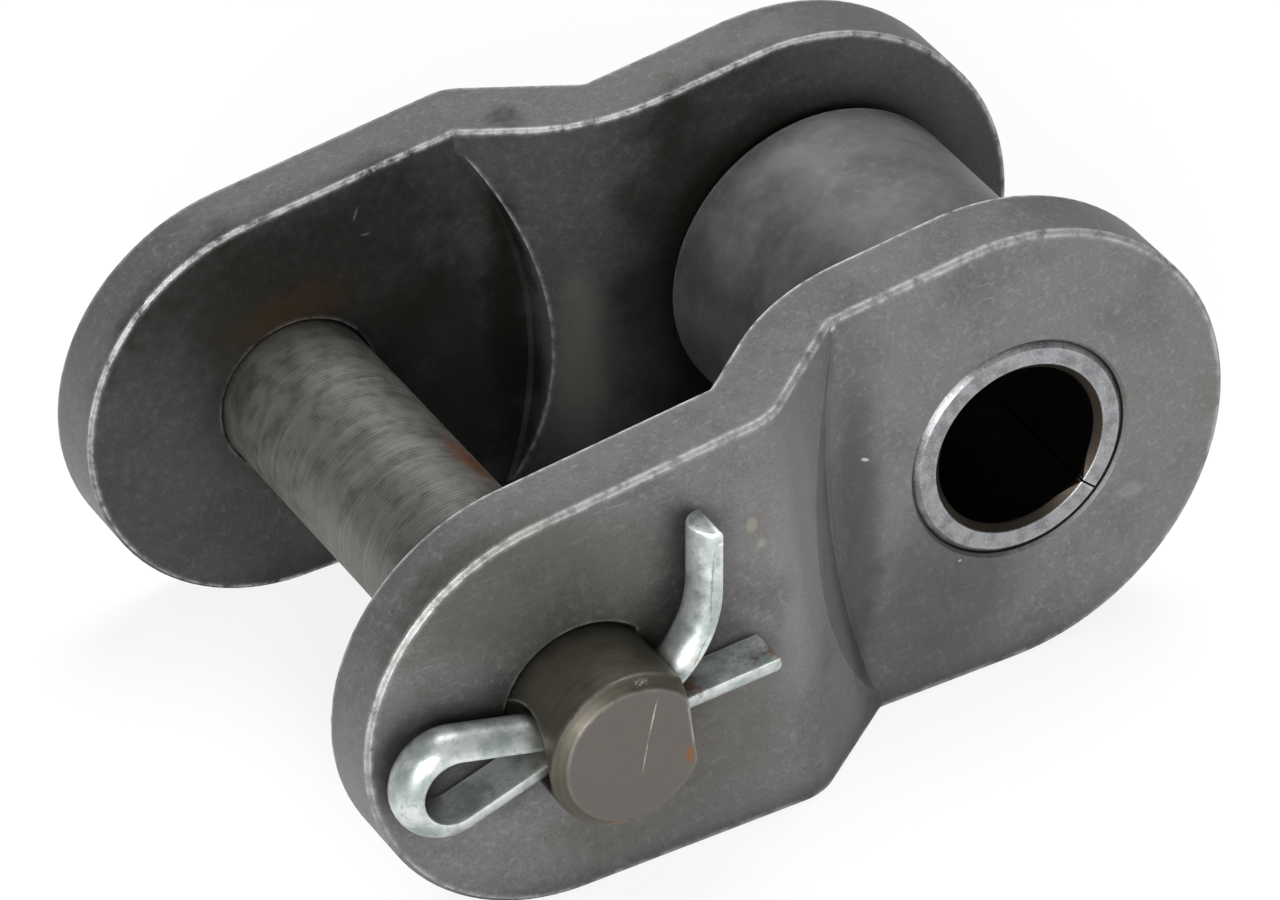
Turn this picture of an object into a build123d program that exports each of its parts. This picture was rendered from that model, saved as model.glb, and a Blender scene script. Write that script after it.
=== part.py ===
from build123d import *
import os
from math import acos, asin, atan2, cos, degrees, hypot, radians, sin, tan

# Offset connecting link of a heavy roller chain, in millimetres.
# Two joggled plates stand side by side: narrow round the pressed bush and its roller, wide
# round the connecting pin. The pin slides in, is stopped by its D-shaped seat and is locked
# by a split pin of half-round wire. The link is drawn with its pitch line along X and the
# bush axis at the origin, then stood on the lower edges of its plates.

# Chain sizes
PITCH = 25.4
NARROW_GAP = 16.6
WIDE_GAP = 25.3

# Offset plates
PLATE_THICKNESS = 3.7
BUSH_END_RADIUS = 11.72
BUSH_END_REACH = 10.98
PIN_END_RADIUS = 10.36
PIN_END_REACH = 11.02
WEB_ANGLE = 38.7
WEB_FROM_PIN = 9.9
INNER_BEND_RADIUS = 10.0
OUTER_BEND_RADIUS = 2.5
INNER_CREASE_RADIUS = 0.3
OUTER_CREASE_RADIUS = 0.5
OUTER_EDGE_BREAK = 0.2
INNER_EDGE_BREAK = 0.13
HOLE_BREAK = 0.15

# Coined recesses that square up both steps of the joggle at mid height
INNER_RECESS_REACH = 2.48
INNER_RECESS_DRAFT = 3.0
OUTER_RECESS_REACH = 1.3
OUTER_RECESS_WALL_ANGLE = 52.0
RECESS_EDGE_MARGIN = 0.9
RECESS_FOOT_BREAK = 0.2

# Curled bush and roller
BUSH_DIAMETER = 11.3
BUSH_BORE = 8.3
BUSH_END_CHAMFER = 0.33
BUSH_MOUTH_CHAMFER = 0.35
SEAM_ANGLE = -47.0
SEAM_WIDTH = 0.1
SEAM_FLAT_ANGLE = 23.0
ROLLER_DIAMETER = 15.88
ROLLER_LENGTH = 15.2
ROLLER_CLEARANCE = 0.07
ROLLER_EDGE_BREAK = 0.3

# Connecting pin
PIN_DIAMETER = 7.93
PIN_FLAT_FROM_AXIS = 3.0
PIN_FRONT_LENGTH = 4.9
PIN_BACK_LENGTH = 0.8
PIN_FRONT_CHAMFER = 0.55
PIN_BACK_CHAMFER = 0.5
PIN_SLIDING_CLEARANCE = 0.04

# Split pin of half-round wire, and its cross hole
WIRE_RADIUS = 1.19
WIRE_SLIT = 0.08
CROSS_HOLE_CLEARANCE = 0.3
LEGS_MOUTH_COUNTERSINK = 0.6
EYE_MOUTH_COUNTERSINK = 1.1
CROSS_HOLE_FROM_PLATE = 1.5
EYE_RADIUS = 1.6
EYE_FROM_PIN = 3.9
EYE_RISE = 0.15
STRANDS_MEET = 2.2
STRAND_BEND_RADIUS = 1.5
STRAIGHT_LEG_LENGTH = 5.8
LEG_ROOT_SETBACK = 0.34
LEG_ROOT_BEND_RADIUS = 1.5
LEG_ROOT_ANGLE = 35.6
LEG_ROOT_LENGTH = 4.2
LEG_KNEE_RADIUS = 6.0
LEG_UPPER_ANGLE = 82.5
LEG_UPPER_LENGTH = 5.6

# Planes and axes worked out from the sizes above
narrow_inner = NARROW_GAP / 2
narrow_outer = narrow_inner + PLATE_THICKNESS
wide_inner = WIDE_GAP / 2
wide_outer = wide_inner + PLATE_THICKNESS
joggle = wide_inner - narrow_inner
web_slope = tan(radians(WEB_ANGLE))
bush_r = BUSH_DIAMETER / 2
pin_r = PIN_DIAMETER / 2
pin_x = -PITCH
pin_end_x = pin_x - (PIN_END_REACH - PIN_END_RADIUS)
bush_end_x = BUSH_END_REACH - BUSH_END_RADIUS
taper = asin((BUSH_END_RADIUS - PIN_END_RADIUS) / (bush_end_x - pin_end_x))
inner_crease_x = pin_x + WEB_FROM_PIN
web_depth = PLATE_THICKNESS / cos(radians(WEB_ANGLE))
outer_crease_x = inner_crease_x + (joggle + web_depth - PLATE_THICKNESS) / web_slope
cross_hole_r = WIRE_RADIUS + WIRE_SLIT / 2 + CROSS_HOLE_CLEARANCE
cross_hole_y = -(wide_outer + CROSS_HOLE_FROM_PLATE)


def plate_half_height(x):
    """Height of the plate's straight upper edge above the pitch line."""
    return (PIN_END_RADIUS + (x - pin_end_x) * sin(taper)) / cos(taper)


def round_y(radius, y_low, y_high, x=0.0):
    """Cylinder along Y between two planes."""
    disc = Plane(origin=(x, y_low, 0), x_dir=(1, 0, 0), z_dir=(0, 1, 0)) * Circle(radius)
    return extrude(disc, amount=y_high - y_low)


def turned_y(points):
    """Solid of revolution about the Y axis from (radius, y) points."""
    return revolve(make_face(Polyline(*points, close=True)), Axis.Y)


def plate_outline():
    """Tapered plate seen from the side: two round ends joined by their tangents."""
    pin_tangent = (pin_end_x - PIN_END_RADIUS * sin(taper), PIN_END_RADIUS * cos(taper))
    bush_tangent = (bush_end_x - BUSH_END_RADIUS * sin(taper), BUSH_END_RADIUS * cos(taper))
    pin_end = ThreePointArc(pin_tangent, (pin_end_x - PIN_END_RADIUS, 0), (pin_tangent[0], -pin_tangent[1]))
    bush_end = ThreePointArc((bush_tangent[0], -bush_tangent[1]), (BUSH_END_REACH, 0), bush_tangent)
    edges = pin_end + Line(pin_end @ 1, bush_end @ 0) + bush_end + Line(bush_end @ 1, pin_end @ 0)
    return Plane.XZ * make_face(edges)


def joggled_strip():
    """The plate's section seen from above: wide flat, sloping web, narrow flat."""
    left = pin_x - PIN_END_REACH - PLATE_THICKNESS
    right = BUSH_END_REACH + PLATE_THICKNESS
    inner_narrow_x = inner_crease_x + joggle / web_slope
    outer_wide_x = outer_crease_x - joggle / web_slope
    inner = FilletPolyline(
        (left, wide_inner),
        (inner_crease_x, wide_inner),
        (inner_narrow_x, narrow_inner),
        (right, narrow_inner),
        radius=[INNER_CREASE_RADIUS, INNER_BEND_RADIUS],
    )
    outer = FilletPolyline(
        (left, wide_outer),
        (outer_wide_x, wide_outer),
        (outer_crease_x, narrow_outer),
        (right, narrow_outer),
        radius=[OUTER_BEND_RADIUS, OUTER_CREASE_RADIUS],
    )
    ends = Line(inner @ 0, outer @ 0) + Line(inner @ 1, outer @ 1)
    return make_face(inner + outer + ends)


def inner_face_y(x):
    """Distance of the plate's inner face from the middle of the link, bends left out."""
    return min(wide_inner, max(narrow_inner, wide_inner - (x - inner_crease_x) * web_slope))


def rim_edges(plate, outer):
    """Edges round the plate's outer face, or round its inner face."""
    across = plate.edges().filter_by(Axis.Y) + plate.edges().filter_by(Axis.Z)
    rims = [edge for edge in plate.edges() if edge not in across]
    return [e for e in rims if ((e @ 0.5).Y > inner_face_y((e @ 0.5).X) + PLATE_THICKNESS / 2) == outer]


def plate_blank():
    """Joggled plate with its edges broken, before coining and piercing."""
    strip = extrude(joggled_strip(), amount=2 * BUSH_END_RADIUS, both=True)
    blank = extrude(plate_outline(), amount=2 * wide_outer, both=True) & strip
    blank = chamfer(rim_edges(blank, outer=True), OUTER_EDGE_BREAK)
    return chamfer(rim_edges(blank, outer=False), INNER_EDGE_BREAK)


def recess_arc_radius(reach, half_height):
    """Radius of the arc that stands out by reach at mid height and ends on the crease."""
    return (half_height ** 2 + reach ** 2) / (2 * reach)


def coining_punch(foot, foot_y, flare, depth):
    """Conical punch along Y with a blunted foot; depth is signed and flare widens it."""
    section = make_face(Polyline(
        (0, foot_y),
        (foot, foot_y),
        (foot + flare, foot_y + depth),
        (0, foot_y + depth),
        close=True,
    ))
    rim = section.vertices().sort_by_distance((foot, foot_y, 0))[0]
    return revolve(chamfer(rim, RECESS_FOOT_BREAK), Axis.Y)


def inner_recess():
    """Room for the next link's plate: the wide inner flat carried on into the web."""
    foot = recess_arc_radius(INNER_RECESS_REACH, plate_half_height(inner_crease_x) - RECESS_EDGE_MARGIN)
    depth = 2 * joggle
    punch = coining_punch(foot, wide_inner, depth * tan(radians(INNER_RECESS_DRAFT)), -depth)
    return Pos(inner_crease_x + INNER_RECESS_REACH - foot, 0, 0) * punch


def outer_recess():
    """Room for the next link's plate: the narrow outer flat carried on into the web."""
    foot = recess_arc_radius(OUTER_RECESS_REACH, plate_half_height(outer_crease_x) - RECESS_EDGE_MARGIN)
    depth = 2 * joggle
    punch = coining_punch(foot, narrow_outer, depth / tan(radians(OUTER_RECESS_WALL_ANGLE)), depth)
    return Pos(outer_crease_x - OUTER_RECESS_REACH + foot, 0, 0) * punch


def hole_break(radius, x, face_y, way):
    """Small countersink in a plate's face, opening the way the face looks."""
    reach = HOLE_BREAK + PLATE_THICKNESS
    cone = turned_y([
        (0, face_y - way * HOLE_BREAK),
        (radius, face_y - way * HOLE_BREAK),
        (radius + reach, face_y + way * PLATE_THICKNESS),
        (0, face_y + way * PLATE_THICKNESS),
    ])
    return Pos(x, 0, 0) * cone


def pierced(plate, radius, x, inner_y, outer_y):
    """Cut a round hole through a plate and break its two edges."""
    plate = plate - round_y(radius, inner_y - PLATE_THICKNESS, outer_y + PLATE_THICKNESS, x)
    return plate - hole_break(radius, x, outer_y, 1) - hole_break(radius, x, inner_y, -1)


def offset_plate():
    """One plate, on the +Y side, with its bush hole."""
    plate = plate_blank() - inner_recess() - outer_recess()
    return pierced(plate, bush_r, 0, narrow_inner, narrow_outer)


def offset_plate_back(plate):
    """The plate that holds the pin's plain end in a round hole."""
    return pierced(plate, pin_r, pin_x, wide_inner, wide_outer)


def block_beyond_flat(length):
    """Block that stands beyond the pin's flat, from the flat outwards and along +Y."""
    return Box(PIN_DIAMETER, length, 2 * PIN_DIAMETER, align=(Align.MIN, Align.MIN, Align.CENTER))


def offset_plate_front(plate):
    """The plate over the pin's flatted end: its hole is D-shaped to stop the pin turning."""
    hole_r = pin_r + PIN_SLIDING_CLEARANCE
    flat_x = PIN_FLAT_FROM_AXIS + PIN_SLIDING_CLEARANCE
    hole = round_y(hole_r, wide_inner - PLATE_THICKNESS, wide_outer + PLATE_THICKNESS)
    hole = hole + hole_break(hole_r, 0, wide_outer, 1)
    hole = hole - Pos(flat_x, wide_inner - PLATE_THICKNESS, 0) * block_beyond_flat(4 * PLATE_THICKNESS)
    return (plate - Pos(pin_x, 0, 0) * hole).mirror(Plane.XZ)


def seam_tools():
    """Butt seam of the curled bush: a fine slit, and the peak that its straight ends leave in the bore."""
    bore_r = BUSH_BORE / 2
    half = radians(SEAM_FLAT_ANGLE)
    kite = make_face(Polyline(
        (0, 0),
        (bore_r * cos(half), bore_r * sin(half)),
        (bore_r / cos(half), 0),
        (bore_r * cos(half), -bore_r * sin(half)),
        close=True,
    ))
    length = 4 * narrow_outer
    peak = extrude(Plane.XZ * kite, amount=length / 2, both=True)
    slit = Pos(BUSH_DIAMETER / 2, 0, 0) * Box(BUSH_DIAMETER, length, SEAM_WIDTH)
    return Rot(0, -SEAM_ANGLE, 0) * (peak + slit)


def bush():
    """Curled bush, pressed through both plates and flush with their outer faces."""
    bore_r = BUSH_BORE / 2
    tube = turned_y([
        (bore_r, 0),
        (bush_r, 0),
        (bush_r, narrow_outer - BUSH_END_CHAMFER),
        (bush_r - BUSH_END_CHAMFER, narrow_outer),
        (bore_r + BUSH_MOUTH_CHAMFER, narrow_outer),
        (bore_r, narrow_outer - BUSH_MOUTH_CHAMFER),
    ])
    return tube + tube.mirror(Plane.XZ) - seam_tools()


def roller():
    """Seamless roller, free to turn on the bush between the narrow inner faces."""
    bore_r = bush_r + ROLLER_CLEARANCE
    body = round_y(ROLLER_DIAMETER / 2, -ROLLER_LENGTH / 2, ROLLER_LENGTH / 2)
    body = body - round_y(bore_r, -ROLLER_LENGTH, ROLLER_LENGTH)
    return chamfer(body.edges().filter_by(GeomType.CIRCLE), ROLLER_EDGE_BREAK)


def hole_mouth(countersink, surface_x):
    """Countersink of the cross hole where it comes out of the pin on the +X side."""
    cone = Rot(0, 90, 0) * Cone(
        cross_hole_r,
        cross_hole_r + 2 * countersink,
        2 * countersink,
        align=(Align.CENTER, Align.CENTER, Align.MIN),
    )
    return Pos(surface_x - countersink, 0, 0) * cone


def cross_hole():
    """Hole for the split pin, countersunk at both mouths."""
    hole = Rot(0, 90, 0) * Cylinder(cross_hole_r, 2 * PIN_DIAMETER)
    legs_mouth = hole_mouth(LEGS_MOUTH_COUNTERSINK, PIN_FLAT_FROM_AXIS)
    eye_mouth = Rot(0, 0, 180) * hole_mouth(EYE_MOUTH_COUNTERSINK, pin_r)
    return Pos(0, cross_hole_y, 0) * (hole + legs_mouth + eye_mouth)


def connecting_pin():
    """Pin with a flat on its front end; the flat's shoulder stops on the front plate."""
    front = -(wide_outer + PIN_FRONT_LENGTH)
    back = wide_outer + PIN_BACK_LENGTH
    body = turned_y([
        (0, front),
        (pin_r - PIN_FRONT_CHAMFER, front),
        (pin_r, front + PIN_FRONT_CHAMFER),
        (pin_r, back - PIN_BACK_CHAMFER),
        (pin_r - PIN_BACK_CHAMFER, back),
        (0, back),
    ])
    body = body - Pos(PIN_FLAT_FROM_AXIS, front, 0) * block_beyond_flat(-wide_inner - front)
    return Pos(pin_x, 0, 0) * (body - cross_hole())


def tangent_angle(start, centre, radius, side):
    """Angle, about the centre, where the tangent from a point touches a circle."""
    across = start[0] - centre[0]
    up = start[1] - centre[1]
    return atan2(up, across) + side * acos(radius / hypot(across, up))


def split_pin_path():
    """Line of the wire's flat side, from the straight leg's tip round the eye to the bent leg's tip."""
    slit = WIRE_SLIT / 2
    fork_x = -STRANDS_MEET
    eye = (-(pin_r + EYE_FROM_PIN), EYE_RISE)
    low = tangent_angle((fork_x, -slit), eye, EYE_RADIUS, -1)
    high = tangent_angle((fork_x, slit), eye, EYE_RADIUS, 1)
    low_touch = (eye[0] + EYE_RADIUS * cos(low), eye[1] + EYE_RADIUS * sin(low))
    high_touch = (eye[0] + EYE_RADIUS * cos(high), eye[1] + EYE_RADIUS * sin(high))
    far = (eye[0] - EYE_RADIUS * cos((low + high) / 2), eye[1] - EYE_RADIUS * sin((low + high) / 2))
    root = radians(LEG_ROOT_ANGLE)
    upper = radians(LEG_UPPER_ANGLE)
    bend_x = PIN_FLAT_FROM_AXIS - LEG_ROOT_SETBACK
    knee = (bend_x + LEG_ROOT_LENGTH * cos(root), slit + LEG_ROOT_LENGTH * sin(root))
    tip = (knee[0] + LEG_UPPER_LENGTH * cos(upper), knee[1] + LEG_UPPER_LENGTH * sin(upper))
    straight = FilletPolyline(
        (PIN_FLAT_FROM_AXIS + STRAIGHT_LEG_LENGTH, -slit),
        (fork_x, -slit),
        low_touch,
        radius=STRAND_BEND_RADIUS,
    )
    bent = FilletPolyline(
        high_touch,
        (fork_x, slit),
        (bend_x, slit),
        knee,
        tip,
        radius=[STRAND_BEND_RADIUS, LEG_ROOT_BEND_RADIUS, LEG_KNEE_RADIUS],
    )
    return straight + ThreePointArc(low_touch, far, high_touch) + bent


def split_pin():
    """Split pin: half-round wire with its flat sides together in the cross hole, one leg bent up."""
    path = Plane.XZ * split_pin_path()
    start = path @ 0
    flat = Line((-WIRE_RADIUS, 0), (WIRE_RADIUS, 0))
    section = make_face(flat + ThreePointArc(flat @ 1, (0, WIRE_RADIUS), flat @ 0))
    profile = Plane(origin=start, x_dir=(0, 1, 0), z_dir=(-1, 0, 0)) * section
    return Pos(pin_x, cross_hole_y, 0) * sweep(profile, path=path)


def write_parts():
    """Stand the link on the lower edges of its plates and write each piece."""
    stance = Rot(0, -degrees(taper), 0)
    plate = offset_plate()
    pieces = {
        "offset_plate_front": offset_plate_front(plate),
        "offset_plate_back": offset_plate_back(plate),
        "bush": bush(),
        "roller": roller(),
        "connecting_pin": connecting_pin(),
        "split_pin": split_pin(),
    }
    os.makedirs("parts", exist_ok=True)
    for name, piece in pieces.items():
        export_step(stance * piece, "parts/" + name + ".step")


write_parts()
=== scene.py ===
import bpy
import bmesh
from math import cos, radians, sin
from mathutils import Matrix, Vector


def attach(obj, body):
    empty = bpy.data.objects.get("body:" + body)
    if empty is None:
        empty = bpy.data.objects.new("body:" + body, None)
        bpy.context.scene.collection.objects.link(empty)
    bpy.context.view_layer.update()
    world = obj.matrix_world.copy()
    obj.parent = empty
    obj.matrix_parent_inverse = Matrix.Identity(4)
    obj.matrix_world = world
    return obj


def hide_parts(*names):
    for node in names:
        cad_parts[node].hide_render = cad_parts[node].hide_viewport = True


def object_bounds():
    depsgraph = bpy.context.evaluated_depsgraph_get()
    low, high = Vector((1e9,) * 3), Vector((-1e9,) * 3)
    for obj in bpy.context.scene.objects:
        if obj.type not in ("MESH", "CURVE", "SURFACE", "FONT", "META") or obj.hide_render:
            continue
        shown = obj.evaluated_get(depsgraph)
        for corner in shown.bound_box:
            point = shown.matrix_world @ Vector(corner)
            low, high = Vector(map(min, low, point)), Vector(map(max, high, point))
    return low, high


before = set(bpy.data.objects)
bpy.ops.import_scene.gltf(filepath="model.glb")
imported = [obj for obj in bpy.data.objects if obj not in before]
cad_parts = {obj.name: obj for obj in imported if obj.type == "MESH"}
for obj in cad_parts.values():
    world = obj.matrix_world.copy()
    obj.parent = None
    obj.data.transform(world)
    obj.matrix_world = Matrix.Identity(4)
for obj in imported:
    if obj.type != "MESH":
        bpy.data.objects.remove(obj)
cad_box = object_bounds()
MM = 0.001


# ---- Camera ----
# A long lens looks down on the link from its split-pin side. The camera is rolled a little,
# so the floor runs slightly uphill to the right.
VIEW_TARGET = Vector((-14.53, -1.62, -0.45)) * MM
VIEW_AZIMUTH = radians(-25.424)
VIEW_ELEVATION = radians(35.119)
VIEW_ROLL = radians(-4.836)
VIEW_DISTANCE = 430.15 * MM
LENS = 258.97
SENSOR = 36.0

towards = Vector((
    sin(VIEW_AZIMUTH) * cos(VIEW_ELEVATION),
    -cos(VIEW_AZIMUTH) * cos(VIEW_ELEVATION),
    sin(VIEW_ELEVATION),
))
camera_data = bpy.data.cameras.new("studio_camera")
camera_data.lens = LENS
camera_data.sensor_width = SENSOR
camera_data.clip_start = VIEW_DISTANCE / 10
camera_data.clip_end = VIEW_DISTANCE * 10
camera = bpy.data.objects.new("studio_camera", camera_data)
camera.rotation_mode = "QUATERNION"
roll = Matrix.Rotation(VIEW_ROLL, 3, "Z").to_quaternion()
camera.rotation_quaternion = towards.to_track_quat("Z", "Y") @ roll
camera.location = VIEW_TARGET + towards * VIEW_DISTANCE
bpy.context.scene.collection.objects.link(camera)
bpy.context.scene.camera = camera


# ---- Offset plates ----
# Two cranked side plates, blanked from thick carbon-steel strip, then joggled and coined cold.
# Hardening left a dull grey skin. Tumbling rubbed the edges bright, with a painted highlight on
# the upper edges, and oil and painted shade darken the insides.
BUSH_AXIS = (0.0, 0.0, 0.0)
PIN_AXIS = (-25.363, 0.0, -1.364)
HOLE_RIMS = (
    # axis, radius where the covered rim ends and the open plate starts, share of rubbed edge
    # and painted edge highlight left on the rim
    (BUSH_AXIS, 6.3, 6.6, 0.0),
    (PIN_AXIS, 4.5, 4.9, 0.45),
)
SKIN_DARK = "575756"
SKIN_GREY = "696969"
SKIN_LIGHT = "858585"
SKIN_BROWN = "5d5850"
PIT_SHADOW = "3d3d3c"
BARE_STEEL = "dcdcdb"
# Painted highlight on the back plate's web, where a facet catches the light
LIT_FACET_GREY = "66665f"
# Dark oil, also laid as painted shade in corners and on the inside faces
OIL_AND_SHADE_DARK = "14140e"
# Grime grey, also laid as painted shade at the foot of the front plate's web
SHADE_AND_GRIME_GREY = "2f3030"
OIL_BROWN = "393426"
OIL_RUSTY = "3a2a14"
DRIED_DROP = "a39b86"
FRONT_MARKS = (
    # place and half size (mm), turn (degrees), cover, colour
    # Oil that crept out above and below the pin
    ((-27.0, -16.3, 5.5), (9.0, 2.5, 6.0), 20, 0.55, OIL_BROWN),
    ((-20.5, -16.3, -6.5), (8.0, 2.5, 5.5), -10, 0.4, OIL_BROWN),
    # Painted shade at the foot of the web, grime below the bush, and the web painted lighter,
    # a painted highlight where it faces the light
    ((-8.9, -12.3, -1.0), (2.0, 2.0, 13.0), 3, 0.65, SHADE_AND_GRIME_GREY),
    ((-5.0, -12.0, -7.0), (5.5, 2.0, 6.5), 30, 0.5, SHADE_AND_GRIME_GREY),
    ((-13.8, -15.2, 0.5), (2.2, 2.4, 11.0), 3, 0.3, SKIN_LIGHT),
    # Two dried drops, a knock at the end of the crease, and small scuffs round the bush
    ((-16.3, -16.2, 4.8), (0.3, 0.6, 0.45), 0, 0.3, DRIED_DROP),
    ((-15.9, -16.1, 3.6), (0.25, 0.6, 0.3), 0, 0.3, DRIED_DROP),
    ((-9.3, -12.2, 10.4), (0.3, 0.6, 0.25), 0, 0.5, BARE_STEEL),
    ((-8.1, -12.0, 2.6), (0.3, 0.5, 0.12), 30, 0.5, BARE_STEEL),
    ((5.7, -12.0, -4.6), (1.1, 0.5, 0.7), 0, 0.4, SKIN_LIGHT),
    ((-3.5, -12.0, -5.0), (0.12, 0.5, 0.1), 0, 0.4, BARE_STEEL),
)
BACK_MARKS = (
    # Old oil on both inner flats, thickest at the head of the web, with painted shade where the
    # front plate keeps the light off
    ((-23.5, 12.6, 4.5), (12.0, 2.0, 8.0), 0, 0.8, OIL_AND_SHADE_DARK),
    ((-17.5, 12.6, -3.0), (6.5, 2.0, 9.0), 0, 0.8, OIL_AND_SHADE_DARK),
    ((-14.2, 12.2, 0.0), (1.5, 1.8, 13.0), 3, 0.9, OIL_AND_SHADE_DARK),
    ((-4.5, 8.3, 1.0), (8.5, 1.8, 14.0), 3, 0.8, OIL_AND_SHADE_DARK),
    # The web painted lighter, a painted highlight where its facet catches the light, and oil gone
    # rusty above the pin
    ((-11.3, 10.7, -2.0), (1.7, 1.8, 9.0), 3, 0.55, LIT_FACET_GREY),
    ((-25.0, 12.6, 3.3), (4.5, 1.0, 1.8), -10, 0.5, OIL_RUSTY),
    # Small scuffs
    ((-21.5, 12.6, 7.5), (0.09, 0.5, 0.5), 25, 0.35, SKIN_LIGHT),
    ((-21.1, 12.6, 6.2), (0.4, 0.5, 0.1), 10, 0.35, SKIN_LIGHT),
    ((-13.6, 12.0, 1.3), (0.14, 0.5, 0.14), 0, 0.8, SKIN_LIGHT),
)

MARK_EDGE = (1.05, 0.35)
MARK_FRAY = 0.35
OCCLUSION_RAYS = 4
RELIEF_STRENGTH = 0.7


def linear(code):
    """sRGB hex colour as linear RGBA."""
    shades = [int(code[i:i + 2], 16) / 255 for i in (0, 2, 4)]
    return [s / 12.92 if s <= 0.04045 else ((s + 0.055) / 1.055) ** 2.4 for s in shades] + [1.0]


def add(material, kind, inputs=None, out=0, **settings):
    """Add one shader node with its settings and links, and return one of its outputs."""
    tree = material.node_tree
    made = tree.nodes.new("ShaderNode" + kind)
    for name, value in settings.items():
        setattr(made, name, value)
    for name, value in (inputs or {}).items():
        if isinstance(value, bpy.types.NodeSocket):
            tree.links.new(value, made.inputs[name])
        else:
            made.inputs[name].default_value = linear(value) if isinstance(value, str) else value
    return made.outputs[out] if made.outputs else None


def blank_finish(name):
    """An empty material, and the place of each point on the piece in millimetres."""
    material = bpy.data.materials.new(name)
    material.use_nodes = True
    material.node_tree.nodes.clear()
    place = add(material, "TexCoord", out="Object")
    return material, add(material, "VectorMath", {0: place, "Scale": 1 / MM}, operation="SCALE")


def cover(material, tone, *coats):
    """Lay coats over a tone. Each has a pattern, its start and full values, cover and colour."""
    for pattern, start, full, most, colour in coats:
        ends = {0: pattern, 1: start, 2: full, 3: 0.0, 4: most}
        mask = add(material, "MapRange", ends, interpolation_type="SMOOTHSTEP")
        tone = add(material, "MixRGB", {0: mask, 1: tone, 2: colour})
    return tone


def marked(material, mm, wander, tone, marks):
    """Lay single marks over a tone, each a soft-edged oval that a wandering pattern frays."""
    fray = add(material, "MapRange", {0: wander, 1: 0.3, 2: 0.7, 3: MARK_FRAY, 4: -MARK_FRAY})
    for spot, size, turn, most, colour in marks:
        own = {0: mm, 1: spot, 2: (0.0, radians(turn), 0.0), 3: size}
        own = add(material, "Mapping", own, vector_type="TEXTURE")
        reach = add(material, "VectorMath", {0: own}, out="Value", operation="LENGTH")
        reach = add(material, "Math", {0: reach, 1: fray})
        tone = cover(material, tone, (reach, *MARK_EDGE, most, colour))
    return tone


def rubbed_and_highlit_edges(material, mm, reach):
    """1 on outside corners: rubbed bright in broken patches, and a painted highlight, least below.
    """
    depth = {"Distance": reach * MM}
    rays = {"samples": OCCLUSION_RAYS, "inside": True, "only_local": True}
    thin = add(material, "AmbientOcclusion", depth, out="AO", **rays)
    corner = add(material, "MapRange", {0: thin, 1: 0.95, 2: 0.8})
    chips = add(material, "TexNoise", {"Vector": mm, "Scale": 1.3, "Detail": 6.0, "Roughness": 0.7})
    chips = add(material, "MapRange", {0: chips, 1: 0.3, 2: 0.6})
    # Painted highlight: edges that face up are brightest, as if lit from above
    highlight_upward = add(material, "SeparateXYZ", {0: add(material, "TexCoord", out="Normal")}, out=2)
    highlight_upward = add(material, "MapRange", {0: highlight_upward, 1: -0.5, 2: 0.3, 3: 0.15, 4: 1.0})
    chips = add(material, "Math", {0: chips, 1: highlight_upward}, operation="MULTIPLY")
    return add(material, "Math", {0: corner, 1: chips}, operation="MULTIPLY")


def corner_shade_and_oil(material, reach):
    """1 in corners and gaps, 0 on open faces: painted shade there, and the oil and dirt they hold.
    """
    depth = {"Distance": reach * MM}
    open_air = add(material, "AmbientOcclusion", depth, out="AO", samples=OCCLUSION_RAYS)
    return add(material, "MapRange", {0: open_air, 1: 0.95, 2: 0.3})


def close_finish(material, tone, rough, metal, relief, height):
    """One surface shader. Its metal share is below 1 where oxide, oil or dust covers the metal."""
    lift = {"Height": relief, "Strength": RELIEF_STRENGTH, "Distance": height * MM}
    surface = {
        "Base Color": tone,
        "Roughness": rough,
        "Metallic": metal,
        "Normal": add(material, "Bump", lift),
    }
    add(material, "OutputMaterial", {"Surface": add(material, "BsdfPrincipled", surface)})


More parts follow.
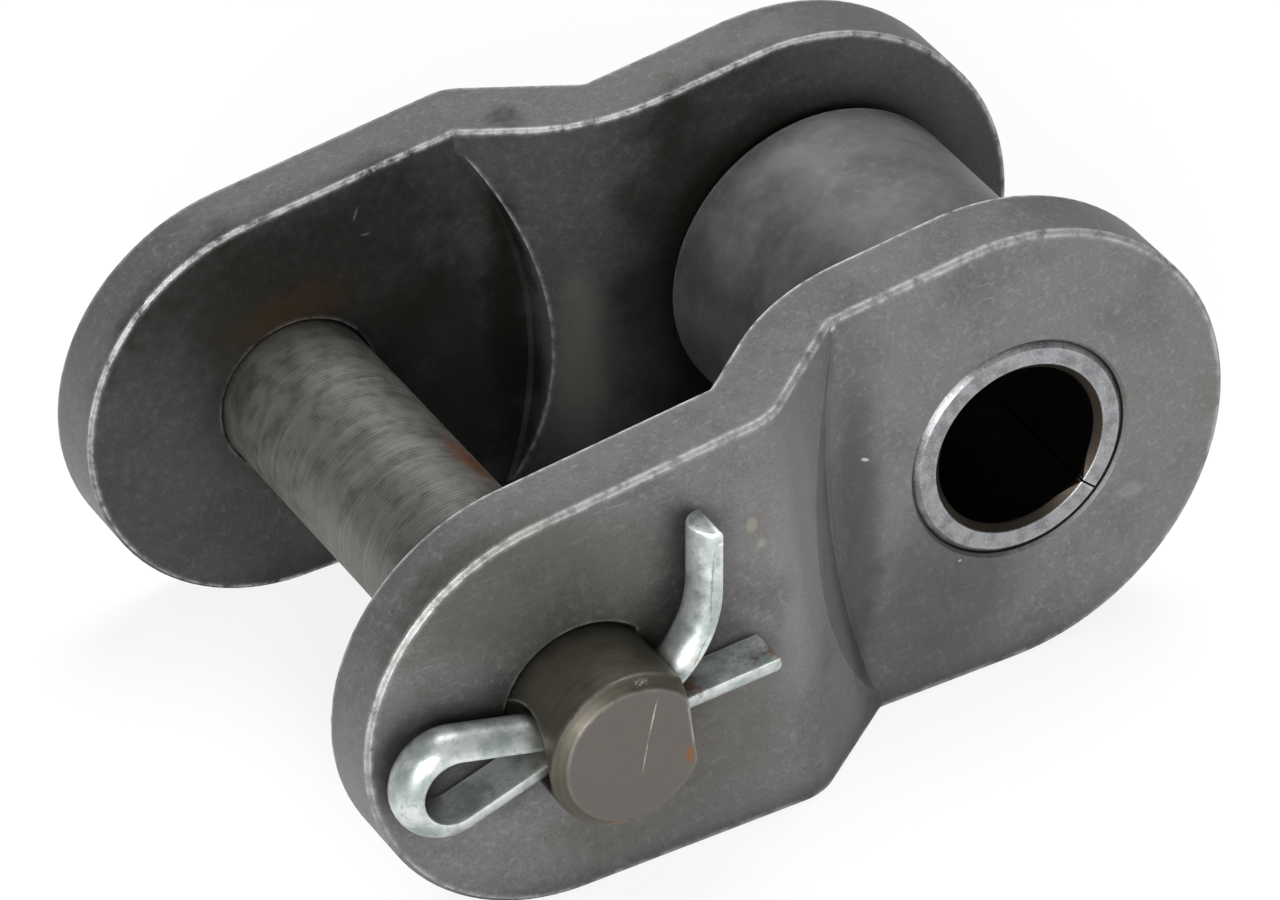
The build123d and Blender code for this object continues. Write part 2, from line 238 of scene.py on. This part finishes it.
def hardened_strip(name, inner_side, marks):
    """Hardened carbon steel under a thin oxide skin: matt grey, clouded, finely pitted, scuffed."""
    m, mm = blank_finish(name)

    # Clouds 4-5 mm across, mottle 0.4 mm, specks of dust 1 mm apart. Real pits are finer than
    # 0.1 mm, so they are drawn at 0.2 mm to show
    clouds = add(m, "TexNoise", {"Vector": mm, "Scale": 0.22, "Detail": 6.0, "Roughness": 0.62})
    mottle = add(m, "TexNoise", {"Vector": mm, "Scale": 2.4, "Detail": 6.0, "Roughness": 0.7})
    pits = add(m, "TexNoise", {"Vector": mm, "Scale": 6.0, "Detail": 4.0, "Roughness": 0.7})
    dust = add(m, "TexVoronoi", {"Vector": mm, "Scale": 0.9, "Randomness": 1.0})
    tone = cover(
        m, SKIN_DARK,
        (clouds, 0.25, 0.6, 1.0, SKIN_GREY),
        (clouds, 0.5, 0.7, 0.4, SKIN_BROWN),
        (mottle, 0.48, 0.72, 0.5, SKIN_LIGHT),
        (pits, 0.46, 0.28, 0.55, PIT_SHADOW),
        (pits, 0.56, 0.74, 0.5, SKIN_LIGHT),
        (dust, 0.07, 0.03, 0.5, SKIN_LIGHT),
    )

    # Tumbling scuffs, 2 mm long and 0.15 mm wide, lying two ways
    for turn in (28, -62):
        lay = add(m, "Mapping", {0: mm, 2: (0.0, radians(turn), 0.0), 3: (0.35, 1.0, 4.5)})
        scuff = add(m, "TexNoise", {"Vector": lay, "Scale": 1.5, "Detail": 2.0, "Roughness": 0.5})
        tone = cover(m, tone, (scuff, 0.69, 0.75, 0.45, SKIN_LIGHT))

    # Oil lies thick on the inside faces and in the corners, with painted shade laid there too
    sides = {0: add(m, "TexCoord", out="Normal"), 1: (0.0, inner_side, 0.0)}
    facing = add(m, "VectorMath", sides, out="Value", operation="DOT_PRODUCT")
    inner_shade_and_oil = add(m, "Math", {0: facing, 1: clouds}, operation="MULTIPLY")
    tone = cover(
        m, tone,
        (inner_shade_and_oil, 0.05, 0.4, 0.6, OIL_AND_SHADE_DARK),
        (corner_shade_and_oil(m, 3.0), 0.1, 0.8, 0.85, OIL_AND_SHADE_DARK),
    )
    tone = marked(m, mm, clouds, tone, marks)

    # Bush and pin cover the edges of their holes, which stay unrubbed or nearly so, and get
    # little of the painted edge highlight
    wear_and_highlight = rubbed_and_highlit_edges(m, mm, 0.3)
    for axis, near, far, left in HOLE_RIMS:
        place = add(m, "VectorMath", {0: mm, 1: axis}, operation="SUBTRACT")
        place = add(m, "VectorMath", {0: place, 1: (1.0, 0.0, 1.0)}, operation="MULTIPLY")
        reach = add(m, "VectorMath", {0: place}, out="Value", operation="LENGTH")
        open_rim = add(m, "MapRange", {0: reach, 1: near, 2: far, 3: left})
        wear_and_highlight = add(m, "Math", {0: wear_and_highlight, 1: open_rim}, operation="MULTIPLY")
    # Edges painted bare steel: rubbed wear, and a painted highlight on the upward edges
    tone = cover(m, tone, (wear_and_highlight, 0.0, 1.0, 0.9, BARE_STEEL))
    rough = add(m, "MapRange", {0: mottle, 1: 0.3, 2: 0.7, 3: 0.5, 4: 0.66})
    relief = add(m, "MixRGB", {0: 0.5, 1: mottle, 2: pits})
    close_finish(m, tone, rough, 0.7, relief, 0.02)
    return m


front_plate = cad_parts["offset_plate_front"]
front_plate.data.materials.clear()
front_plate.data.materials.append(hardened_strip("hardened_strip_front", 1.0, FRONT_MARKS))
back_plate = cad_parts["offset_plate_back"]
back_plate.data.materials.clear()
back_plate.data.materials.append(hardened_strip("hardened_strip_back", -1.0, BACK_MARKS))


# ---- Bush ----
# The bush is curled from flat strip, case-hardened and pressed through both plates. Its faced
# ends shine a little more than the plates, and its bore is painted black: painted shade over old
# oil.
BUSH_FACE = "8b8b8d"
BUSH_SHADE = "6f6f71"
BORE_OIL_AND_SHADE_BROWN = "2d261e"
BORE_SHADOW_BLACK = "060605"
BROWN_WITHIN = (4.5, 4.44)
BLACK_BELOW = (11.8, 11.5)


def case_hardened_strip():
    """Case-hardened strip: low-shine faced ends with faint blots, and a bore painted black as shade
    and oil.
    """
    m, mm = blank_finish("case_hardened_strip")

    # Blots 0.7 mm across, grain 0.1 mm. The chamfer of the mouth is painted brown, oil stain and
    # painted shade; deeper in, the bore is painted black, a painted shadow
    mottle = add(m, "TexNoise", {"Vector": mm, "Scale": 1.4, "Detail": 5.0, "Roughness": 0.6})
    grain = add(m, "TexNoise", {"Vector": mm, "Scale": 9.0, "Detail": 3.0, "Roughness": 0.65})
    place = add(m, "VectorMath", {0: mm, 1: (1.0, 0.0, 1.0)}, operation="MULTIPLY")
    radius = add(m, "VectorMath", {0: place}, out="Value", operation="LENGTH")
    along = add(m, "SeparateXYZ", {0: mm}, out=1)
    along = add(m, "Math", {0: along}, operation="ABSOLUTE")
    tone = cover(
        m, BUSH_SHADE,
        (mottle, 0.35, 0.62, 1.0, BUSH_FACE),
        (grain, 0.55, 0.75, 0.5, BARE_STEEL),
        (grain, 0.45, 0.28, 0.5, SKIN_DARK),
        # Edges: wear and painted highlight; corners and bore: painted shade with oil, brown then
        # black
        (rubbed_and_highlit_edges(m, mm, 0.2), 0.0, 1.0, 0.25, BARE_STEEL),
        (corner_shade_and_oil(m, 0.8), 0.3, 1.0, 0.8, OIL_AND_SHADE_DARK),
        (radius, *BROWN_WITHIN, 1.0, BORE_OIL_AND_SHADE_BROWN),
        (along, *BLACK_BELOW, 1.0, BORE_SHADOW_BLACK),
    )
    rough = add(m, "MapRange", {0: mottle, 1: 0.3, 2: 0.7, 3: 0.36, 4: 0.52})
    close_finish(m, tone, rough, 0.8, grain, 0.01)
    return m


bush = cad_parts["bush"]
bush.data.materials.clear()
bush.data.materials.append(case_hardened_strip())


# ---- Roller ----
# A hardened roller turns loosely on the bush. Its tread was ground and then tumbled with the
# plates: a smooth satin grey with clouds of slightly browner skin.
ROLLER_ROUNDING = 0.1 * MM
MERGE_GAP = 0.001 * MM
COPLANAR = radians(0.3)
SHARP_EDGE = radians(20)
SHADING_BREAK = radians(40)
ROUNDING_STEPS = 2
ROLLER_DARK = "5c5b5b"
ROLLER_LIGHT = "717070"


def rounded_copy(node_name, rounding):
    """Merged copy of a CAD piece with its sharp edges rounded."""
    skin = bmesh.new()
    skin.from_mesh(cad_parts[node_name].data)
    bmesh.ops.remove_doubles(skin, verts=skin.verts, dist=MERGE_GAP)
    bmesh.ops.dissolve_limit(skin, angle_limit=COPLANAR, verts=skin.verts, edges=skin.edges)
    bmesh.ops.bevel(
        skin,
        geom=[e for e in skin.edges if e.calc_face_angle() > SHARP_EDGE],
        offset=rounding,
        offset_type="OFFSET",
        affect="EDGES",
        segments=ROUNDING_STEPS,
        profile=0.5,
        material=-1,
    )
    bmesh.ops.triangulate(skin, faces=skin.faces)
    for face in skin.faces:
        face.smooth = True
    for edge in skin.edges:
        edge.smooth = edge.calc_face_angle() < SHADING_BREAK
    mesh = bpy.data.meshes.new(node_name + "_skin")
    skin.to_mesh(mesh)
    skin.free()
    piece = bpy.data.objects.new(node_name + "_skin", mesh)
    bpy.context.scene.collection.objects.link(piece)
    shading = piece.modifiers.new("even_shading", "WEIGHTED_NORMAL")
    shading.keep_sharp = True
    return piece


def satin_roller_steel():
    """Ground and tumbled bearing steel: satin and cloudy, with faint rings round the tread."""
    m, mm = blank_finish("satin_roller_steel")

    # Clouds 4 mm across, mottle 0.6 mm. Real grinding rings are under 0.1 mm apart, so they are
    # drawn 0.2 mm apart to show
    clouds = add(m, "TexNoise", {"Vector": mm, "Scale": 0.25, "Detail": 4.0, "Roughness": 0.55})
    mottle = add(m, "TexNoise", {"Vector": mm, "Scale": 1.6, "Detail": 6.0, "Roughness": 0.66})
    round_lay = add(m, "Mapping", {0: mm, 3: (0.12, 1.0, 0.12)})
    rings = add(
        m, "TexNoise", {"Vector": round_lay, "Scale": 6.0, "Detail": 2.0, "Roughness": 0.5}
    )
    tone = cover(
        m, ROLLER_DARK,
        (clouds, 0.35, 0.65, 1.0, ROLLER_LIGHT),
        (mottle, 0.48, 0.72, 0.35, SKIN_LIGHT),
        (mottle, 0.45, 0.25, 0.35, SKIN_BROWN),
        (rings, 0.6, 0.75, 0.2, SKIN_LIGHT),
        # Corners: painted shade with oil. Edges: wear and a painted highlight
        (corner_shade_and_oil(m, 3.0), 0.1, 0.9, 0.7, OIL_AND_SHADE_DARK),
        (rubbed_and_highlit_edges(m, mm, 0.3), 0.0, 1.0, 0.5, BARE_STEEL),
    )
    rough = add(m, "MapRange", {0: clouds, 1: 0.3, 2: 0.7, 3: 0.5, 4: 0.62})
    relief = add(m, "MixRGB", {0: 0.4, 1: mottle, 2: rings})
    close_finish(m, tone, rough, 0.65, relief, 0.012)
    return m


roller = rounded_copy("roller", ROLLER_ROUNDING)
roller.data.materials.append(satin_roller_steel())
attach(roller, "roller")
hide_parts("roller")


# ---- Connecting pin ----
# The pin is cut from hardened bar and centreless ground, which leaves fine rings round it. A flat
# at its front end stops it turning. Oil has stained that end, and rust has begun on top.
PIN_ROUNDING = 0.08 * MM
OILED_END = (-11.9, -12.4)
END_FACE = (-21.2, -21.24)
PIN_GREY = "6a6965"
PIN_PALE = "8d8c89"
PIN_WARM = "56544e"
PIN_END = "57524d"
RING_SHADOW = "45443f"
SCRATCH_BRIGHT = "b9b5b0"
SCRATCH_FAINT = "a8a49f"
KNOCKED = "b0aca6"
RUST = "7a4a26"
PIN_MARKS = (
    # Rust halfway along, and oil by the back plate
    ((-22.9, -0.6, 1.6), (0.9, 2.8, 1.2), 0, 0.75, RUST),
    ((-28.7, 11.6, 1.0), (1.2, 1.2, 2.0), 0, 0.5, OIL_BROWN),
    # One long scratch down the end face, and a knock on its upper edge
    ((-24.33, -21.3, 0.32), (0.045, 0.6, 1.0), 17, 0.75, SCRATCH_BRIGHT),
    ((-24.87, -21.3, -1.6), (0.04, 0.6, 1.2), 14, 0.6, SCRATCH_FAINT),
    ((-24.6, -21.2, 2.35), (0.6, 0.4, 0.22), 10, 0.6, KNOCKED),
    # Rust spots on the lower half of the end face
    ((-22.66, -21.2, -2.4), (0.3, 0.5, 0.6), 0, 0.7, RUST),
    ((-24.1, -21.1, -4.9), (0.7, 0.5, 0.3), -30, 0.7, RUST),
    ((-26.4, -21.1, -4.8), (0.6, 0.5, 0.25), 20, 0.6, RUST),
)


def ground_bar():
    """Centreless-ground bar: grey with fine rings, a warm oil stain, and the first rust."""
    m, mm = blank_finish("ground_bar_steel")

    # Blots 1 mm across, grain 0.1 mm. Real grinding rings are under 0.1 mm apart, so they are
    # drawn 0.2-0.3 mm apart to show
    mottle = add(m, "TexNoise", {"Vector": mm, "Scale": 1.0, "Detail": 5.0, "Roughness": 0.62})
    grain = add(m, "TexNoise", {"Vector": mm, "Scale": 8.0, "Detail": 3.0, "Roughness": 0.65})
    round_lay = add(m, "Mapping", {0: mm, 3: (0.05, 1.0, 0.05)})
    rings = add(
        m, "TexNoise", {"Vector": round_lay, "Scale": 3.2, "Detail": 5.0, "Roughness": 0.75}
    )
    wheel = {"Vector": mm, "Scale": 1.4, "Distortion": 1.6, "Detail": 3.0, "Detail Scale": 0.6}
    wheel = add(m, "TexWave", wheel, out=1, bands_direction="Y")
    along = add(m, "SeparateXYZ", {0: mm}, out=1)
    tone = cover(
        m, PIN_WARM,
        (mottle, 0.3, 0.6, 1.0, PIN_GREY),
        (rings, 0.5, 0.68, 0.4, PIN_PALE),
        (rings, 0.46, 0.32, 0.35, RING_SHADOW),
        (wheel, 0.6, 1.0, 0.25, PIN_PALE),
        (along, *OILED_END, 0.8, OIL_BROWN),
        (along, *END_FACE, 1.0, PIN_END),
        # Corners: painted shade with oil. Edges: wear and a painted highlight
        (corner_shade_and_oil(m, 1.8), 0.1, 1.0, 0.8, OIL_AND_SHADE_DARK),
        (rubbed_and_highlit_edges(m, mm, 0.2), 0.0, 1.0, 0.35, BARE_STEEL),
    )
    tone = marked(m, mm, grain, tone, PIN_MARKS)
    rough = add(m, "MapRange", {0: mottle, 1: 0.3, 2: 0.7, 3: 0.42, 4: 0.58})
    relief = add(m, "MixRGB", {0: 0.3, 1: rings, 2: grain})
    close_finish(m, tone, rough, 0.7, relief, 0.02)
    return m


pin = rounded_copy("connecting_pin", PIN_ROUNDING)
pin.data.materials.append(ground_bar())
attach(pin, "frame")
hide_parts("connecting_pin")


# ---- Split pin ----
# The split pin is folded from half-round drawn wire and zinc plated. One leg was bent up with
# pliers to lock it, which scraped the plating.
WIRE_ROUNDING = 0.12 * MM
ZINC_LIGHT = "b8bdba"
ZINC_GREY = "8b9391"
ZINC_GREEN = "757c70"
# Zinc stain, also laid as painted shade in the split pin's corners
ZINC_STAIN_AND_SHADE = "4d4732"
# Rubbed zinc, laid on edges as wear and a painted highlight
ZINC_RUBBED_AND_LIT = "dfe3e1"
ZINC_BRIGHT = "e8ecea"
NICK = "2f3b3a"
DRAWING_LINE = "5f6764"
OILY_CREAM = "9a917b"
EYE_GRIME = "5c5b47"
RUSTY_GREY = "5b4535"
WIRE_MARKS = (
    # Two plier nicks, the line that drawing left, and the sheared tip of the bent leg
    ((-21.1, -18.5, 3.87), (0.35, 0.6, 0.1), -45, 0.9, NICK),
    ((-21.15, -18.5, 3.4), (0.35, 0.6, 0.1), -35, 0.9, NICK),
    ((-19.75, -18.9, 4.4), (0.05, 0.8, 2.3), 7, 0.6, DRAWING_LINE),
    ((-20.7, -18.9, 1.0), (0.05, 0.8, 1.5), 32, 0.6, DRAWING_LINE),
    ((-19.1, -18.5, 6.5), (0.3, 0.8, 0.15), 0, 0.8, ZINC_BRIGHT),
    # Stains at the foot of that leg and inside the eye
    ((-20.9, -18.3, 0.9), (0.7, 0.9, 0.8), 30, 0.5, OILY_CREAM),
    ((-32.3, -18.0, -1.5), (3.2, 1.6, 1.0), -12, 0.6, EYE_GRIME),
    # Rust along the straight leg, at its tip and at its root
    ((-17.9, -18.2, -0.6), (1.5, 1.0, 0.5), 8, 0.8, RUSTY_GREY),
    ((-16.6, -18.2, -1.0), (0.35, 1.0, 0.4), 0, 0.7, RUST),
    ((-20.9, -18.2, -1.3), (0.6, 1.0, 0.5), 0, 0.7, RUST),
)


def zinc_plated_wire():
    """Bright zinc on drawn wire: blue-white, blotched where the plating has dulled."""
    m, mm = blank_finish("zinc_plated_wire")

    # Clouds 1.4 mm across, blotches 0.3 mm
    clouds = add(m, "TexNoise", {"Vector": mm, "Scale": 0.7, "Detail": 4.0, "Roughness": 0.6})
    mottle = add(m, "TexNoise", {"Vector": mm, "Scale": 3.2, "Detail": 5.0, "Roughness": 0.62})
    tone = cover(
        m, ZINC_GREY,
        (clouds, 0.35, 0.6, 1.0, ZINC_LIGHT),
        (mottle, 0.52, 0.75, 0.7, ZINC_GREEN),
        # Corners: painted shade with stain. Edges: rubbed zinc and a painted highlight
        (corner_shade_and_oil(m, 1.4), 0.15, 1.0, 0.85, ZINC_STAIN_AND_SHADE),
        (rubbed_and_highlit_edges(m, mm, 0.25), 0.0, 1.0, 0.4, ZINC_RUBBED_AND_LIT),
    )
    tone = marked(m, mm, mottle, tone, WIRE_MARKS)
    rough = add(m, "MapRange", {0: mottle, 1: 0.3, 2: 0.7, 3: 0.3, 4: 0.46})
    close_finish(m, tone, rough, 0.7, mottle, 0.015)
    return m


wire = rounded_copy("split_pin", WIRE_ROUNDING)
wire.data.materials.append(zinc_plated_wire())
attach(wire, "frame")
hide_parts("split_pin")


# ---- Floor and studio light ----
# A white paper floor, under an even sky and broad soft lamps. The main lamp stands low at the
# front left, so the front plate shades the inside of the link.
FLOOR_HALF = 600 * MM
# Only the camera sees pure white: the paper and sky that light the link are duller
PAPER_WHITE = "f4f4f4"
PAPER_GLOW = 0.8
PURE_WHITE = "ffffff"
SKY_WHITE = "eef1f4"
SKY_STRENGTH = 0.36
LAMPS = (
    # name, place (mm), width (mm), power (W)
    ("front_lamp", (-260, -420, 170), 260, 3.7),
    ("top_lamp", (120, 120, 420), 320, 1.6),
)

paper = bpy.data.materials.new("white_paper")
paper.use_nodes = True
paper.node_tree.nodes.clear()
matt = add(paper, "BsdfDiffuse", {"Color": PAPER_WHITE})
glow = add(paper, "Emission", {"Color": PURE_WHITE, "Strength": 1.0})
seen = add(paper, "LightPath", out="Is Camera Ray")
share = add(paper, "Math", {0: seen, 1: PAPER_GLOW}, operation="MULTIPLY")
add(paper, "OutputMaterial", {"Surface": add(paper, "MixShader", {0: share, 1: matt, 2: glow})})

sheet = bmesh.new()
bmesh.ops.create_grid(sheet, x_segments=1, y_segments=1, size=FLOOR_HALF)
bmesh.ops.translate(sheet, verts=sheet.verts, vec=(0, 0, cad_box[0].z))
mesh = bpy.data.meshes.new("paper_floor")
sheet.to_mesh(mesh)
sheet.free()
mesh.materials.append(paper)
floor = bpy.data.objects.new("paper_floor", mesh)
bpy.context.scene.collection.objects.link(floor)

sky = bpy.data.worlds.new("studio_sky")
sky.use_nodes = True
sky.node_tree.nodes.clear()
seen = add(sky, "LightPath", out="Is Camera Ray")
soft = add(sky, "Background", {"Color": SKY_WHITE, "Strength": SKY_STRENGTH})
white = add(sky, "Background", {"Color": PURE_WHITE, "Strength": 1.0})
add(sky, "OutputWorld", {"Surface": add(sky, "MixShader", {0: seen, 1: soft, 2: white})})
bpy.context.scene.world = sky

for name, place, width, watts in LAMPS:
    lamp_data = bpy.data.lights.new(name, "AREA")
    lamp_data.shape = "DISK"
    lamp_data.size = width * MM
    lamp_data.energy = watts
    lamp = bpy.data.objects.new(name, lamp_data)
    lamp.location = Vector(place) * MM
    lamp.rotation_euler = (lamp.location - VIEW_TARGET).to_track_quat("Z", "Y").to_euler()
    bpy.context.scene.collection.objects.link(lamp)

bpy.context.scene.view_settings.view_transform = "Standard"
